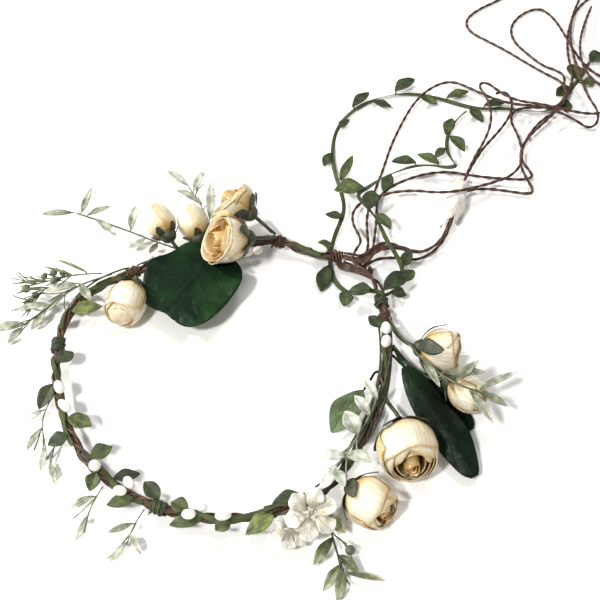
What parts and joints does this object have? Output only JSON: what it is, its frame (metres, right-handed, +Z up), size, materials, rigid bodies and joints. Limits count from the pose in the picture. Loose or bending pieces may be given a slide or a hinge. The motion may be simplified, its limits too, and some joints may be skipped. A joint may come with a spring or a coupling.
{
  "type": "flower crown",
  "caption": "Wired vine hoop for the head with ivory rosebuds, leaves and sprigs in clusters, open at one side and closed by long tie cords and leaf ribbons.",
  "frame": {"origin": "centre of the head opening, on the surface that the crown lies on", "axes": "+Z up through the head opening, -Y toward the front edge, the gap between the tied ends toward +X +Y"},
  "size_m": [0.3626, 0.4295, 0.0397],
  "materials": {
    "petal_ivory": "satin woven petals, warm in the folds",
    "calyx_green": "moulded calyx and stem",
    "rose_leaf_green": "coated cloth leaf with printed veins",
    "wire_steel": "taped florist wire",
    "vine_brown": "twisted paper vine",
    "ribbon_green": "woven leaf ribbon",
    "pip_white": "moulded pips",
    "floret_white": "thin white petals",
    "sprig_pale": "pale frosted sprig",
    "sprig_green": "frosted grey-green sprig",
    "seed_green": "dark berries on thin stems",
    "paper_white": "plain paper slip"
  },
  "bodies": {
    "left_band": {"big_leaf_1": "rose_leaf_green", "binding_left": "vine_brown", "binding_top_left": "vine_brown", "binding_top_right": "vine_brown", "left_band_leaves": "ribbon_green", "left_band_ribbon": "ribbon_green", "left_core_wire": "wire_steel", "left_end_knot": "vine_brown", "left_pips": "pip_white", "left_vine_wrap": "vine_brown", "rose_calyx_1": "calyx_green", "rose_calyx_2": "calyx_green", "rose_calyx_3": "calyx_green", "rose_calyx_4": "calyx_green", "rose_calyx_5": "calyx_green", "rosebud_1": "petal_ivory", "rosebud_2": "petal_ivory", "rosebud_3": "petal_ivory", "rosebud_4": "petal_ivory", "rosebud_5": "petal_ivory", "small_sprigs_left": "sprig_green", "sprig_tip_left": "sprig_green", "sprig_top": "sprig_green", "tie_cord_a1": "vine_brown", "tie_cord_a2": "vine_brown", "tie_cord_a3": "vine_brown"},
    "right_band": {"right_core_wire": "wire_steel", "right_vine_wrap": "vine_brown", "binding_bottom": "vine_brown", "binding_right": "vine_brown", "right_end_knot": "vine_brown", "right_band_ribbon": "ribbon_green", "right_band_leaves": "ribbon_green", "right_pips": "pip_white", "rosebud_6": "petal_ivory", "rosebud_7": "petal_ivory", "rosebud_8": "petal_ivory", "rosebud_9": "petal_ivory", "rose_calyx_6": "calyx_green", "rose_calyx_7": "calyx_green", "rose_calyx_8": "calyx_green", "rose_calyx_9": "calyx_green", "big_leaf_3": "rose_leaf_green", "small_sprigs_right": "sprig_green", "sprig_white": "sprig_pale", "white_florets": "floret_white", "tie_cord_b1": "vine_brown", "tie_cord_b2": "vine_brown", "tie_cord_b3": "vine_brown", "leaf_ribbon_1": "ribbon_green", "leaf_ribbon_2": "ribbon_green", "ribbon_1_leaves": "ribbon_green", "ribbon_2_leaves": "ribbon_green", "paper_tag": "paper_white"},
    "left_sprigs": {"sprig_low_left": "sprig_green", "seed_sprig": "seed_green"},
    "bottom_sprig": {"sprig_bottom": "sprig_green"},
    "right_sprig": {"sprig_right": "sprig_green"},
    "front_leaf": {"big_leaf_2": "rose_leaf_green"},
    "inner_leaf": {"big_leaf_4": "rose_leaf_green"}
  },
  "joints": [
    {"name": "band_flex", "type": "hinge", "parent": "left_band", "child": "right_band", "pos_m": [-0.065, -0.05, 0.008], "axis": [0, 0, 1], "range_deg": [-8, 4], "deforming": ["tie_cord_a1", "tie_cord_a2", "tie_cord_a3", "tie_cord_b1", "tie_cord_b2", "tie_cord_b3", "leaf_ribbon_1", "leaf_ribbon_2", "ribbon_1_leaves", "ribbon_2_leaves", "paper_tag"]},
    {"name": "left_sprigs_bend", "type": "hinge", "parent": "left_band", "child": "left_sprigs", "pos_m": [-0.061, 0.051, 0.0134], "axis": [-0.4067, 0.9136, 0], "range_deg": [0, 12]},
    {"name": "bottom_sprig_bend", "type": "hinge", "parent": "right_band", "child": "bottom_sprig", "pos_m": [0.0468, -0.0758, 0.008], "axis": [-0.9539, -0.3, 0], "range_deg": [0, 12]},
    {"name": "right_sprig_bend", "type": "hinge", "parent": "right_band", "child": "right_sprig", "pos_m": [0.082, 0.024, 0.0135], "axis": [-0.8371, -0.5471, 0], "range_deg": [0, 15]},
    {"name": "front_leaf_bend", "type": "hinge", "parent": "right_band", "child": "front_leaf", "pos_m": [0.0846, 0.006, 0.0106], "axis": [-0.881, -0.473, 0], "range_deg": [0, 10]},
    {"name": "inner_leaf_bend", "type": "hinge", "parent": "right_band", "child": "inner_leaf", "pos_m": [0.074, -0.005, 0.0078], "axis": [-0.8089, 0.5879, 0], "range_deg": [0, 12]}
  ]
}
